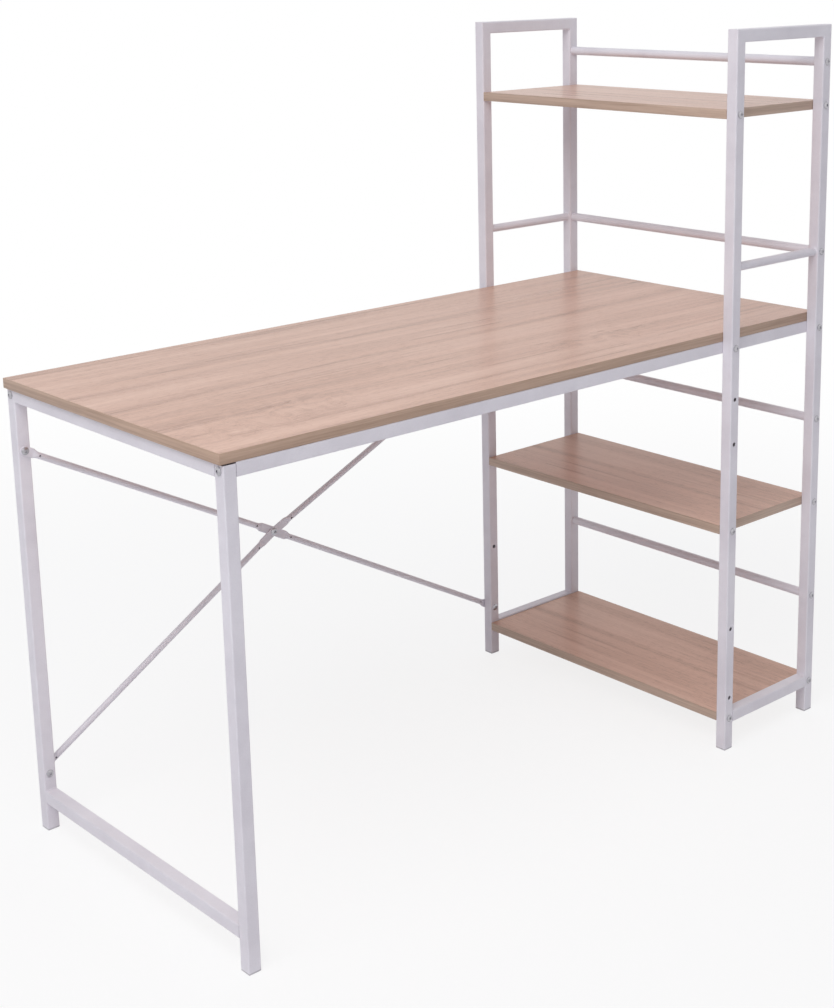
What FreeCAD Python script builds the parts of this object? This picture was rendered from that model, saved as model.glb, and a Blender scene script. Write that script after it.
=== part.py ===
import FreeCAD, Part

import math
import os

import Sketcher

# Bookcase desk: a bolted frame of white square tube carries a desktop and three shelves.
# Millimetres, +Z up. The origin is on the floor, under the middle of the whole desk.
# X runs along the desk, from the leg frame to the bookcase. Y runs from the front to the back.

Vector = FreeCAD.Vector

DRIVING_SIZES = {
    # Whole desk
    "desk_length": 1200,
    "desk_depth": 560,
    "desk_height": 722,
    "case_width": 240,
    "case_height": 1200,
    "leg_setback": 5,
    "leg_gap": 2,
    # Boards: upper faces of the shelves, from the top of the bookcase or from the floor
    "top_shelf_drop": 123,
    "middle_shelf_height": 396,
    "bottom_shelf_height": 64.5,
    "board_thickness": 15,
    "band_thickness": 1,
    # Square tube of the frames
    "tube_side": 20,
    "tube_wall": 1.2,
    "tube_corner": 2,
    # Round rods of the bookcase: axes below its top, and above the desktop and the two lower shelves
    "top_rod_drop": 60,
    "upper_rod_rise": 105,
    "middle_rod_rise": 141,
    "lower_rod_rise": 152.5,
    "rod_diameter": 15,
    "side_rod_diameter": 14,
    "rod_wall": 1.2,
    # Cross brace behind the knee space: upper bolts below the desktop, lower bolts above the floor
    "brace_drop": 110,
    "brace_lower_height": 94,
    "strut_diameter": 10,
    "strut_wall": 1.2,
    "strut_flat_margin": 2,
    "strut_cross_flat": 26,
    "strut_squeeze": 10,
    "drain_diameter": 3.5,
    "drain_setback": 3,
    # Plastic caps in the tube ends
    "cap_flange": 3,
    "cap_depth": 15,
    "cap_wall": 2,
    "cap_chamfer": 1,
    "cap_clearance": 0.2,
    # Bolts, nuts and threaded pieces
    "bolt_diameter": 6,
    "bolt_hole": 7,
    "bolt_tail": 1,
    "head_diameter": 12,
    "head_height": 3,
    "head_rim": 1,
    "nut_height": 5,
    "nut_flats": 10,
    "thread_clearance": 0.1,
    "insert_diameter": 9,
    "insert_length": 16,
    "plug_length": 18,
    # Wood screws that hold the desktop
    "screw_diameter": 4,
    "screw_bite": 11,
    "screw_head_diameter": 8,
    "screw_head_height": 2.5,
    # How far a cut runs past the face that it leaves
    "overrun": 2,
}

# The crossing of the brace, between its bolts: along X from the leg, and up from the lower bolts.
CROSSING_X_SHARE = 0.47
CROSSING_Z_SHARE = 0.537

# Side arcs of a strut's round section, by how far their ends lie out from the middle, squared.
ROUND_SHOULDER_SHARE = 0.75

# Screws along a desk rail, from its left end.
SCREW_SHARES = (0.08, 0.42, 0.75)

doc = FreeCAD.newDocument("bookcase_desk")
sheet = doc.addObject("Spreadsheet::Sheet", "sizes")
for row, (alias, number) in enumerate(DRIVING_SIZES.items(), start=1):
    sheet.set(f"A{row}", alias)
    sheet.set(f"B{row}", str(number))
    sheet.setAlias(f"B{row}", alias)
doc.recompute()

nodes = []


def value(expression):
    """Number that an expression of the sheet's sizes comes to."""
    return float(sheet.evalExpression(expression))


def point(x, y, z):
    """Vector at three expressions."""
    return Vector(value(x), value(y), value(z))


# Places that several pieces share, as expressions
HALF_TUBE = "sizes.tube_side / 2"
INNER_SIDE = "(sizes.tube_side - 2 * sizes.tube_wall)"
CAP_FIT = f"({INNER_SIDE} - 2 * sizes.cap_clearance)"
CAP_HOLLOW = f"({CAP_FIT} - 2 * sizes.cap_wall)"
FLAT = "(2 * sizes.strut_wall)"
BACK_REACH = f"({FLAT} + sizes.nut_height + sizes.bolt_tail)"
LEFT = "(-sizes.desk_length / 2)"
RIGHT = "(sizes.desk_length / 2)"
FRONT = f"(-(sizes.desk_depth + {BACK_REACH} - sizes.head_height) / 2)"
BACK = f"({FRONT} + sizes.desk_depth)"
MIDDLE_Y = f"({FRONT} + sizes.desk_depth / 2)"
CASE_LEFT = f"({RIGHT} - sizes.case_width)"
CASE_MIDDLE = f"({RIGHT} - sizes.case_width / 2)"
INNER_POST_X = f"({CASE_LEFT} + {HALF_TUBE})"
OUTER_POST_X = f"({RIGHT} - {HALF_TUBE})"
FRONT_POST_Y = f"({FRONT} - {HALF_TUBE})"
REAR_POST_Y = f"({BACK} + {HALF_TUBE})"
LEG_X = f"({LEFT} + sizes.leg_setback + {HALF_TUBE})"
FRONT_LEG_Y = f"({FRONT} + {HALF_TUBE})"
REAR_LEG_Y = f"({BACK} - {HALF_TUBE})"
RAIL_LEFT = f"({LEG_X} + {HALF_TUBE})"
RAIL_END = f"({RIGHT} - sizes.cap_flange)"
RAIL_TOP = "(sizes.desk_height - sizes.board_thickness)"
RAIL_Z = f"({RAIL_TOP} - {HALF_TUBE})"
FOOT_RAIL_Z = "(sizes.bottom_shelf_height - sizes.board_thickness / 2)"
POST_INSET = f"(sizes.case_width / 2 - {HALF_TUBE})"

SHELF_HEIGHTS = {
    "top_shelf": "(sizes.case_height - sizes.top_shelf_drop)",
    "middle_shelf": "sizes.middle_shelf_height",
    "bottom_shelf": "sizes.bottom_shelf_height",
}
SHELF_BOLT_HEIGHTS = [f"({height} - sizes.board_thickness / 2)" for height in SHELF_HEIGHTS.values()]
ROD_HEIGHTS = {
    "back_rod_top": "(sizes.case_height - sizes.top_rod_drop)",
    "back_rod_upper": "(sizes.desk_height + sizes.upper_rod_rise)",
    "back_rod_middle": "(sizes.middle_shelf_height + sizes.middle_rod_rise)",
    "back_rod_lower": "(sizes.bottom_shelf_height + sizes.lower_rod_rise)",
}
SPARE_ROD_HEIGHTS = [ROD_HEIGHTS["back_rod_middle"], ROD_HEIGHTS["back_rod_lower"]]
UPPER, LOWER = BRACE_HEIGHTS = ["(sizes.desk_height - sizes.brace_drop)", "sizes.brace_lower_height"]
STRUT_FLAT_WIDTH = "(pi * (sizes.strut_diameter - sizes.strut_wall) / 2 + sizes.strut_wall)"

ALONG_Z = FreeCAD.Rotation()
ALONG_Z_TURNED = FreeCAD.Rotation(Vector(0, 0, 1), 180)
ALONG_X = FreeCAD.Rotation(Vector(0, 1, 0), 90)
ALONG_X_TURNED = FreeCAD.Rotation(Vector(1, 0, 0), 180) * ALONG_X
ALONG_Y = FreeCAD.Rotation(Vector(1, 0, 0), -90)
AGAINST_Y = FreeCAD.Rotation(Vector(1, 0, 0), 90)
BACKWARDS = Vector(0, 1, 0)


# Sketches and features


def sketch_on(body, name, role, offset=None):
    """Sketch on one of the body's own planes, set off along the plane's normal."""
    plane = next(feature for feature in body.Origin.OriginFeatures if feature.Role == role)
    sketch = body.newObject("Sketcher::SketchObject", f"{body.Name}_{name}")
    sketch.AttachmentSupport = [(plane, "")]
    sketch.MapMode = "FlatFace"
    if offset:
        sketch.setExpression("AttachmentOffset.Base.z", offset)
    return sketch


def bind(sketch, kind, places, expression):
    """Dimension in a sketch, bound to an expression."""
    index = sketch.addConstraint(Sketcher.Constraint(kind, *places, value(expression)))
    sketch.setExpression(f"Constraints[{index}]", expression)


def draw_polygon(sketch, corners):
    """Closed outline whose corners are pairs of expressions."""
    first = len(sketch.Geometry)
    count = len(corners)
    spots = [Vector(value(x), value(y), 0) for x, y in corners]
    for index in range(count):
        sketch.addGeometry(Part.LineSegment(spots[index], spots[(index + 1) % count]), False)
    for index in range(count):
        following = first + (index + 1) % count
        sketch.addConstraint(Sketcher.Constraint("Coincident", first + index, 2, following, 1))
    for index, (x, y) in enumerate(corners):
        bind(sketch, "DistanceX", (-1, 1, first + index, 1), x)
        bind(sketch, "DistanceY", (-1, 1, first + index, 1), y)


def draw_rectangle(sketch, width, depth):
    """Rectangle centred on the sketch's origin."""
    low_x, high_x = f"-({width}) / 2", f"({width}) / 2"
    low_y, high_y = f"-({depth}) / 2", f"({depth}) / 2"
    draw_polygon(sketch, [(low_x, low_y), (high_x, low_y), (high_x, high_y), (low_x, high_y)])


def draw_circle(sketch, diameter, x=None, y=None):
    """Circle at a pair of expressions; a place left out lies on the axis."""
    centre = Vector(value(x) if x else 0, value(y) if y else 0, 0)
    index = sketch.addGeometry(Part.Circle(centre, Vector(0, 0, 1), value(diameter) / 2), False)
    bind(sketch, "Diameter", (index,), diameter)
    for kind, place, axis in (("DistanceX", x, -2), ("DistanceY", y, -1)):
        if place:
            bind(sketch, kind, (-1, 1, index, 3), place)
        else:
            sketch.addConstraint(Sketcher.Constraint("PointOnObject", index, 3, axis))


def pad(body, sketch, length):
    """Pad along the sketch's normal."""
    feature = body.newObject("PartDesign::Pad", f"{sketch.Name}_pad")
    feature.Profile = sketch
    feature.setExpression("Length", length)
    doc.recompute()
    return feature


def pocket(body, sketch, depth=None):
    """Cut against the sketch's normal, or right through both ways where no depth is given."""
    before = body.Shape.Volume
    feature = body.newObject("PartDesign::Pocket", f"{sketch.Name}_cut")
    feature.Profile = sketch
    if depth:
        feature.setExpression("Length", depth)
    else:
        feature.Type = "ThroughAll"
        feature.SideType = "Symmetric"
    doc.recompute()
    if body.Shape.Volume >= before:
        raise RuntimeError(f"{feature.Name} cuts nothing")
    return feature


def start_body(label):
    """Body that becomes one node."""
    body = doc.addObject("PartDesign::Body", label)
    body.Label = label
    nodes.append(body)
    return body


def place(piece, x, y, z, turn=ALONG_Z):
    """Piece turned, with its own origin at three expressions."""
    piece.Placement = FreeCAD.Placement(Vector(0, 0, 0), turn)
    for axis, expression in zip("xyz", (x, y, z)):
        piece.setExpression(f"Placement.Base.{axis}", expression)
    doc.recompute()


def round_outer_edges(body, feature, radius):
    """Fillet on the long outer edges of a square section."""
    half = value(HALF_TUBE)
    names = []
    for number, edge in enumerate(feature.Shape.Edges, start=1):
        upright = abs(edge.tangentAt(edge.FirstParameter).z) > math.cos(math.radians(1))
        corner = edge.Vertexes[0].Point
        if upright and min(abs(corner.x), abs(corner.y)) > half - value("sizes.tube_wall / 2"):
            names.append(f"Edge{number}")
    fillet = body.newObject("PartDesign::Fillet", f"{body.Name}_corners")
    fillet.Base = (feature, names)
    fillet.setExpression("Radius", radius)
    doc.recompute()
    return fillet


# Tubes, boards and caps


def square_tube(label, run):
    """Square tube along its own Z, with its section centred on the axis."""
    body = start_body(label)
    section = sketch_on(body, "section", "XY_Plane")
    draw_rectangle(section, "sizes.tube_side", "sizes.tube_side")
    draw_rectangle(section, INNER_SIDE, INNER_SIDE)
    round_outer_edges(body, pad(body, section, run), "sizes.tube_corner")
    return body


def mitre(body, name, end, inward):
    """Cut a tube's end at 45 degrees, from the full length on its -X side."""
    out = f"({HALF_TUBE} + sizes.overrun)"
    beyond = f"{end} - ({inward}) * sizes.overrun"
    within = f"{end} + ({inward}) * (sizes.tube_side + sizes.overrun)"
    sketch = sketch_on(body, name, "XZ_Plane")
    draw_polygon(sketch, [(f"-{out}", beyond), (out, beyond), (out, within)])
    pocket(body, sketch)


def drill(body, name, role, diameter, heights):
    """Holes on the tube's axis, through both walls."""
    sketch = sketch_on(body, name, role)
    for height in heights:
        draw_circle(sketch, diameter, None, height)
    pocket(body, sketch)


def round_tube(label, diameter, wall, run):
    """Round tube along its own Z."""
    body = start_body(label)
    section = sketch_on(body, "section", "XY_Plane")
    draw_circle(section, diameter)
    draw_circle(section, f"{diameter} - 2 * {wall}")
    pad(body, section, run)
    return body


def board(label, length, depth):
    """Board lying flat, its lower face at its own origin, and its edge band as a second piece."""
    core = start_body(label)
    core_length = f"{length} - 2 * sizes.band_thickness"
    core_depth = f"{depth} - 2 * sizes.band_thickness"
    outline = sketch_on(core, "outline", "XY_Plane")
    draw_rectangle(outline, core_length, core_depth)
    pad(core, outline, "sizes.board_thickness")
    band = start_body(f"{label}_edge_band")
    ring = sketch_on(band, "ring", "XY_Plane")
    draw_rectangle(ring, length, depth)
    draw_rectangle(ring, core_length, core_depth)
    pad(band, ring, "sizes.board_thickness")
    return core, band


def bore_shelf_ends(core, band):
    """Bores for the threaded inserts, in both ends of a shelf and through its edge band."""
    bore = "sizes.insert_diameter + 2 * sizes.thread_clearance"
    mid = "sizes.board_thickness / 2"
    end = "sizes.desk_depth / 2 - sizes.band_thickness"
    through = sketch_on(band, "bores", "XZ_Plane")
    near = sketch_on(core, "bores", "XZ_Plane", end)
    for sketch in (through, near):
        draw_circle(sketch, bore, f"-{POST_INSET}", mid)
        draw_circle(sketch, bore, POST_INSET, mid)
    pocket(band, through)
    cut = pocket(core, near, "sizes.insert_length - sizes.band_thickness + sizes.thread_clearance")
    far = core.newObject("PartDesign::Mirrored", f"{core.Name}_far_bores")
    far.Originals = [cut]
    plane = next(feature for feature in core.Origin.OriginFeatures if feature.Role == "XZ_Plane")
    far.MirrorPlane = (plane, [""])
    core.Tip = far
    doc.recompute()


def end_cap(label):
    """Square plastic cap: a flange as wide as the tube, below a hollow plug that fits inside it."""
    body = start_body(label)
    flange = sketch_on(body, "flange", "XY_Plane")
    draw_rectangle(flange, "sizes.tube_side", "sizes.tube_side")
    plate = round_outer_edges(body, pad(body, flange, "sizes.cap_flange"), "sizes.tube_corner")
    rim = [
        f"Edge{number}"
        for number, edge in enumerate(plate.Shape.Edges, start=1)
        if edge.BoundBox.ZMax < value("sizes.cap_flange / 2")
    ]
    chamfer = body.newObject("PartDesign::Chamfer", f"{label}_chamfer")
    chamfer.Base = (plate, rim)
    chamfer.setExpression("Size", "sizes.cap_chamfer")
    doc.recompute()
    plug = sketch_on(body, "plug", "XY_Plane", "sizes.cap_flange")
    draw_rectangle(plug, CAP_FIT, CAP_FIT)
    draw_rectangle(plug, CAP_HOLLOW, CAP_HOLLOW)
    pad(body, plug, "sizes.cap_depth")
    return body


def open_cap_sides(body):
    """Leave two tongues of a cap's plug, so that a bolt and its nut pass between them."""
    half = f"({CAP_HOLLOW} / 2)"
    end = "sizes.cap_flange + sizes.cap_depth + sizes.overrun"
    corners = [(f"-{half}", "sizes.cap_flange"), (half, "sizes.cap_flange"), (half, end), (f"-{half}", end)]
    sketch = sketch_on(body, "openings", "XZ_Plane")
    draw_polygon(sketch, corners)
    pocket(body, sketch)


# Desktop and shelves
desktop, desktop_band = board("desktop", "sizes.desk_length", "sizes.desk_depth")
screw_holes = sketch_on(desktop, "screw_holes", "XY_Plane", "sizes.screw_bite")
RAIL_RUN = f"({RAIL_END} - {RAIL_LEFT})"
SCREW_ROWS = [
    (f"({RAIL_LEFT} + {RAIL_RUN} * {share})", row)
    for share in SCREW_SHARES
    for row in (FRONT_LEG_Y, REAR_LEG_Y)
]
for screw_x, screw_y in SCREW_ROWS:
    draw_circle(
        screw_holes,
        "sizes.screw_diameter + 2 * sizes.thread_clearance",
        screw_x,
        f"{screw_y} - {MIDDLE_Y}",
    )
pocket(desktop, screw_holes, "sizes.screw_bite")
for piece in (desktop, desktop_band):
    place(piece, "0", MIDDLE_Y, RAIL_TOP)

for shelf_name, shelf_height in SHELF_HEIGHTS.items():
    shelf, shelf_band = board(shelf_name, "sizes.case_width", "sizes.desk_depth")
    bore_shelf_ends(shelf, shelf_band)
    for piece in (shelf, shelf_band):
        place(piece, CASE_MIDDLE, MIDDLE_Y, f"{shelf_height} - sizes.board_thickness")

# Leg frame
LEG_RUN = f"({RAIL_TOP} - sizes.leg_gap - sizes.cap_flange)"
for leg_name, leg_y in (("leg_front", FRONT_LEG_Y), ("leg_rear", REAR_LEG_Y)):
    leg = square_tube(leg_name, LEG_RUN)
    drill(leg, "rail_bolt", "YZ_Plane", "sizes.bolt_hole", [f"{RAIL_Z} - sizes.cap_flange"])
    if leg_name == "leg_rear":
        brace_holes = [f"{height} - sizes.cap_flange" for height in BRACE_HEIGHTS]
        drill(leg, "brace_bolts", "XZ_Plane", "sizes.bolt_hole", brace_holes)
    place(leg, LEG_X, leg_y, "sizes.cap_flange")
for rail_name, rail_z in (("leg_top_rail", RAIL_Z), ("leg_bottom_rail", FOOT_RAIL_Z)):
    leg_rail = square_tube(rail_name, "sizes.desk_depth - 2 * sizes.tube_side")
    place(leg_rail, LEG_X, f"{FRONT} + sizes.tube_side", rail_z, ALONG_Y)

# Front and rear bookcase frames: two mitred posts and a top bar, a side rod and a bottom rail
POST_RUN = "(sizes.case_height - sizes.cap_flange)"
CLEAR_WIDTH = "(sizes.case_width - 2 * sizes.tube_side)"
INNER_HOLES = [*SHELF_BOLT_HEIGHTS, RAIL_Z, *SPARE_ROD_HEIGHTS, *BRACE_HEIGHTS]
OUTER_HOLES = [*SHELF_BOLT_HEIGHTS, RAIL_Z, *ROD_HEIGHTS.values()]
POSTS = (
    ("inner", INNER_POST_X, ALONG_Z, INNER_HOLES),
    ("outer", OUTER_POST_X, ALONG_Z_TURNED, OUTER_HOLES),
)
for side, post_y in (("front", FRONT_POST_Y), ("rear", REAR_POST_Y)):
    for post_name, post_x, turn, hole_heights in POSTS:
        post = square_tube(f"{side}_post_{post_name}", POST_RUN)
        mitre(post, "mitre", POST_RUN, "-1")
        drill(
            post,
            "bolt_holes",
            "XZ_Plane",
            "sizes.bolt_hole",
            [f"{height} - sizes.cap_flange" for height in hole_heights],
        )
        place(post, post_x, post_y, "sizes.cap_flange", turn)
    top_bar = square_tube(f"{side}_top_bar", "sizes.case_width")
    mitre(top_bar, "left_mitre", "0", "1")
    mitre(top_bar, "right_mitre", "sizes.case_width", "-1")
    place(top_bar, CASE_LEFT, post_y, f"sizes.case_height - {HALF_TUBE}", ALONG_X)
    bottom_rail = square_tube(f"{side}_bottom_rail", CLEAR_WIDTH)
    place(bottom_rail, f"{CASE_LEFT} + sizes.tube_side", post_y, FOOT_RAIL_Z, ALONG_X)
    side_rod = round_tube(f"{side}_side_rod", "sizes.side_rod_diameter", "sizes.rod_wall", CLEAR_WIDTH)
    place(side_rod, f"{CASE_LEFT} + sizes.tube_side", post_y, ROD_HEIGHTS["back_rod_upper"], ALONG_X)

# Long desk rails, with bolt holes in the wall next to the posts and screw holes upwards
RAIL_BOLT_RUNS = [f"{post_x} - {RAIL_LEFT}" for post_x in (INNER_POST_X, OUTER_POST_X)]
SCREW_RUNS = [f"{RAIL_RUN} * {share}" for share in SCREW_SHARES]
RAILS = (("front", FRONT_LEG_Y, ALONG_X), ("rear", REAR_LEG_Y, ALONG_X_TURNED))
for side, rail_y, turn in RAILS:
    rail = square_tube(f"{side}_desk_rail", RAIL_RUN)
    post_holes = sketch_on(rail, "post_bolts", "XZ_Plane", HALF_TUBE)
    for run in RAIL_BOLT_RUNS:
        draw_circle(post_holes, "sizes.bolt_hole", None, run)
    pocket(rail, post_holes, "sizes.tube_wall + sizes.overrun")
    drill(
        rail,
        "screws",
        "YZ_Plane",
        "sizes.screw_diameter + 2 * sizes.thread_clearance",
        SCREW_RUNS,
    )
    place(rail, RAIL_LEFT, rail_y, RAIL_Z, turn)
    rail_cap = end_cap(f"{side}_rail_cap")
    open_cap_sides(rail_cap)
    place(rail_cap, RIGHT, rail_y, RAIL_Z, FreeCAD.Rotation(Vector(0, 1, 0), -90))

# Back rods, between the outer posts
for rod_name, rod_height in ROD_HEIGHTS.items():
    rod = round_tube(rod_name, "sizes.rod_diameter", "sizes.rod_wall", "sizes.desk_depth")
    place(rod, OUTER_POST_X, FRONT, rod_height, ALONG_Y)

# Feet
FEET = {
    "leg_front_foot": (LEG_X, FRONT_LEG_Y),
    "leg_rear_foot": (LEG_X, REAR_LEG_Y),
    "front_inner_foot": (INNER_POST_X, FRONT_POST_Y),
    "front_outer_foot": (OUTER_POST_X, FRONT_POST_Y),
    "rear_inner_foot": (INNER_POST_X, REAR_POST_Y),
    "rear_outer_foot": (OUTER_POST_X, REAR_POST_Y),
}
for foot_name, (foot_x, foot_y) in FEET.items():
    place(end_cap(foot_name), foot_x, foot_y, "0")


# Cross brace: round tube squeezed flat at both ends and at the crossing


def add_node(label, shape):
    """Node whose solid, or group of solids, is made from the sheet's values."""
    piece = doc.addObject("Part::Feature", label)
    piece.Label = label
    piece.Shape = shape
    nodes.append(piece)


def strut_section(centre, across, half_width, half_depth):
    """Outline of four edges about a centre: a circle, or two flat faces with rounded sides."""
    is_round = half_width == half_depth
    shoulder = half_width * math.sqrt(ROUND_SHOULDER_SHARE) if is_round else half_width - half_depth
    rise = half_width * math.sqrt(1 - ROUND_SHOULDER_SHARE) if is_round else half_depth

    def spot(width, depth):
        return centre + across * width + BACKWARDS * depth

    corners = [spot(shoulder, -rise), spot(shoulder, rise), spot(-shoulder, rise), spot(-shoulder, -rise)]
    crowns = [spot(half_width, 0), spot(0, half_depth), spot(-half_width, 0), spot(0, -half_depth)]
    edges = []
    for index, crown in enumerate(crowns):
        ends = corners[index], corners[(index + 1) % len(corners)]
        flat_face = index % 2 and not is_round
        edge = Part.LineSegment(*ends) if flat_face else Part.Arc(ends[0], crown, ends[1])
        edges.append(edge.toShape())
    return Part.Wire(edges)


def half_strut(crossing, tip):
    """Half of a strut, from the middle of its crossing flat to the middle of its end flat.

    Returns its solids, the bore of its round stretch and its drain holes. The flats lie
    parallel to the faces of the posts, and the stretch between them slants from one to the other.
    """
    wall = value("sizes.strut_wall")
    radius = value("sizes.strut_diameter / 2")
    squeeze = value("sizes.strut_squeeze")
    cross_flat = value("sizes.strut_cross_flat")
    run = Vector(tip.x - crossing.x, 0, tip.z - crossing.z)
    length = run.Length
    end_flat = length - value(f"{HALF_TUBE} + sizes.strut_flat_margin")
    along = Vector(run).normalize()
    across = BACKWARDS.cross(along)
    slant = (tip.y - crossing.y) / (end_flat - cross_flat)

    def middle(distance):
        slanted = min(max(distance - cross_flat, 0), end_flat - cross_flat)
        return crossing + along * distance + BACKWARDS * (slant * slanted)

    def flat(distance):
        return strut_section(middle(distance), across, value(STRUT_FLAT_WIDTH) / 2, wall)

    def ring(distance, ring_radius):
        return strut_section(middle(distance), across, ring_radius, ring_radius)

    def prism(wire, first, last):
        return Part.Face(wire).extrude(middle(last) - middle(first))

    round_from, round_to = cross_flat + squeeze, end_flat - squeeze
    solids = [
        prism(flat(0), 0, cross_flat),
        Part.makeLoft([flat(cross_flat), ring(round_from, radius)], True, True),
        prism(ring(round_from, radius), round_from, round_to),
        Part.makeLoft([ring(round_to, radius), flat(end_flat)], True, True),
        prism(flat(end_flat), end_flat, length),
    ]
    bore = prism(ring(round_from, radius - wall), round_from, round_to)
    setback = value("sizes.drain_setback")
    reach = radius + value("sizes.overrun")
    drains = [
        Part.makeCylinder(
            value("sizes.drain_diameter / 2"), reach, middle(distance) - BACKWARDS * reach, BACKWARDS
        )
        for distance in (round_from + setback, round_to - setback)
    ]
    return solids, [bore, *drains]


def strut(start, crossing, end):
    """Strut through three bolt places, given at the middle of its flats."""
    wall = value("sizes.strut_wall")
    solids, cuts = [], []
    for tip in (start, end):
        half_solids, half_cuts = half_strut(crossing, tip)
        solids += half_solids
        cuts += half_cuts
    for centre in (start, crossing, end):
        face = centre - BACKWARDS * wall
        solids.append(Part.makeCylinder(value(STRUT_FLAT_WIDTH) / 2, 2 * wall, face, BACKWARDS))
        through = face - BACKWARDS * value("sizes.overrun")
        depth = 2 * (wall + value("sizes.overrun"))
        cuts.append(Part.makeCylinder(value("sizes.bolt_hole / 2"), depth, through, BACKWARDS))
    whole = solids[0].multiFuse(solids[1:]).removeSplitter()
    return whole.cut(cuts).Solids[0]


CROSSING_X = f"({LEG_X} + ({INNER_POST_X} - {LEG_X}) * {CROSSING_X_SHARE})"
CROSSING_Z = f"({LOWER} + ({UPPER} - {LOWER}) * {CROSSING_Z_SHARE})"
HALF_FLAT = "sizes.strut_wall"

add_node(
    "brace_strut_falling",
    strut(
        point(LEG_X, f"{BACK} - sizes.tube_side - {HALF_FLAT}", UPPER),
        point(CROSSING_X, f"{BACK} + {HALF_FLAT}", CROSSING_Z),
        point(INNER_POST_X, f"{BACK} + sizes.tube_side + {HALF_FLAT}", LOWER),
    ),
)
add_node(
    "brace_strut_rising",
    strut(
        point(LEG_X, f"{BACK} + {HALF_FLAT}", LOWER),
        point(CROSSING_X, f"{BACK} - {HALF_FLAT}", CROSSING_Z),
        point(INNER_POST_X, f"{BACK} - {HALF_FLAT}", UPPER),
    ),
)


# Bolts, nuts, inserts and screws, as groups of separate solids


def headed_pin(diameter, length, head_diameter, head_height, rim):
    """Round-headed pin: the underside of the head at the origin, the shank along +Z."""
    radius, head = value(diameter) / 2, value(head_diameter) / 2
    top, edge, tip = -value(head_height), -value(rim), value(length)
    crown = edge - top
    sphere = (head ** 2 + crown ** 2) / (2 * crown)
    half_angle = math.asin(head / sphere) / 2
    halfway = Vector(sphere * math.sin(half_angle), 0, top + sphere * (1 - math.cos(half_angle)))
    outline = [(head, edge), (head, 0), (radius, 0), (radius, tip), (0, tip), (0, top)]
    spots = [Vector(x, 0, z) for x, z in outline]
    dome = Part.Arc(spots[-1], halfway, spots[0]).toShape()
    profile = Part.Wire([dome, *Part.makePolygon(spots).Edges])
    return Part.Face(profile).revolve(Vector(0, 0, 0), Vector(0, 0, 1), 360)


def bolt(length):
    """Bolt of the desk's one size of head and shank."""
    return headed_pin(
        "sizes.bolt_diameter", length, "sizes.head_diameter", "sizes.head_height", "sizes.head_rim"
    )


def threaded(outline_face, length):
    """Piece with a threaded bore on its axis, from the origin along +Z."""
    thread = value("sizes.bolt_diameter / 2 + sizes.thread_clearance")
    solid = outline_face.extrude(Vector(0, 0, value(length)))
    return solid.cut(Part.makeCylinder(thread, value(length)))


def disc(diameter):
    """Round face about the origin."""
    return Part.Face(Part.Wire(Part.makeCircle(value(diameter) / 2)))


def regular_face(sides, across_flats):
    """Square or hexagonal face about the origin."""
    reach = value(across_flats) / 2 / math.cos(math.pi / sides)
    turns = [2 * math.pi * (step + 1 / 2) / sides for step in range(sides + 1)]
    return Part.Face(Part.makePolygon([Vector(reach * math.cos(a), reach * math.sin(a), 0) for a in turns]))


def add_group(label, shape, places):
    """Node of separate copies, each with its own origin and turn."""
    copies = []
    for origin, turn in places:
        copy = shape.copy()
        copy.Placement = FreeCAD.Placement(origin, turn)
        copies.append(copy)
    add_node(label, Part.makeCompound(copies))


POST_XS = (INNER_POST_X, OUTER_POST_X)
FRONT_OUT = f"{FRONT} - sizes.tube_side"
BACK_OUT = f"{BACK} + sizes.tube_side"


def on_both_sides(front_y, back_y, spots):
    """Places at pairs of x and height, from the front inwards and from the back inwards."""
    sides = ((front_y, ALONG_Y), (back_y, AGAINST_Y))
    return [(point(x, y, height), turn) for x, height in spots for y, turn in sides]


SHELF_SPOTS = [(x, height) for x in POST_XS for height in SHELF_BOLT_HEIGHTS]
ROD_SPOTS = [(OUTER_POST_X, height) for height in ROD_HEIGHTS.values()]
RAIL_SPOTS = [(x, RAIL_Z) for x in POST_XS]

add_group(
    "shelf_bolts",
    bolt("sizes.tube_side + sizes.insert_length - sizes.bolt_tail"),
    on_both_sides(FRONT_OUT, BACK_OUT, SHELF_SPOTS),
)
add_group(
    "shelf_inserts",
    threaded(disc("sizes.insert_diameter"), "sizes.insert_length"),
    on_both_sides(FRONT, BACK, SHELF_SPOTS),
)
add_group(
    "rod_bolts",
    bolt("sizes.tube_side + sizes.plug_length - sizes.bolt_tail"),
    on_both_sides(FRONT_OUT, BACK_OUT, ROD_SPOTS),
)
add_group(
    "rod_end_plugs",
    threaded(
        disc("sizes.rod_diameter - 2 * sizes.rod_wall - 2 * sizes.thread_clearance"), "sizes.plug_length"
    ),
    on_both_sides(FRONT, BACK, ROD_SPOTS),
)
add_group(
    "rail_bolts",
    bolt("sizes.tube_side + sizes.tube_wall + sizes.nut_height + sizes.bolt_tail"),
    on_both_sides(FRONT_OUT, BACK_OUT, RAIL_SPOTS),
)
nut = threaded(regular_face(6, "sizes.nut_flats"), "sizes.nut_height")
add_group(
    "rail_nuts",
    nut,
    on_both_sides(f"{FRONT} + sizes.tube_wall", f"{BACK} - sizes.tube_wall", RAIL_SPOTS),
)
LEG_YS = (FRONT_LEG_Y, REAR_LEG_Y)
add_group(
    "leg_bolts",
    bolt("sizes.tube_side + sizes.plug_length - sizes.bolt_tail"),
    [(point(f"{LEG_X} - {HALF_TUBE}", y, RAIL_Z), ALONG_X) for y in LEG_YS],
)
add_group(
    "rail_end_plugs",
    threaded(regular_face(4, CAP_FIT), "sizes.plug_length"),
    [(point(RAIL_LEFT, y, RAIL_Z), ALONG_X) for y in LEG_YS],
)
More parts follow.
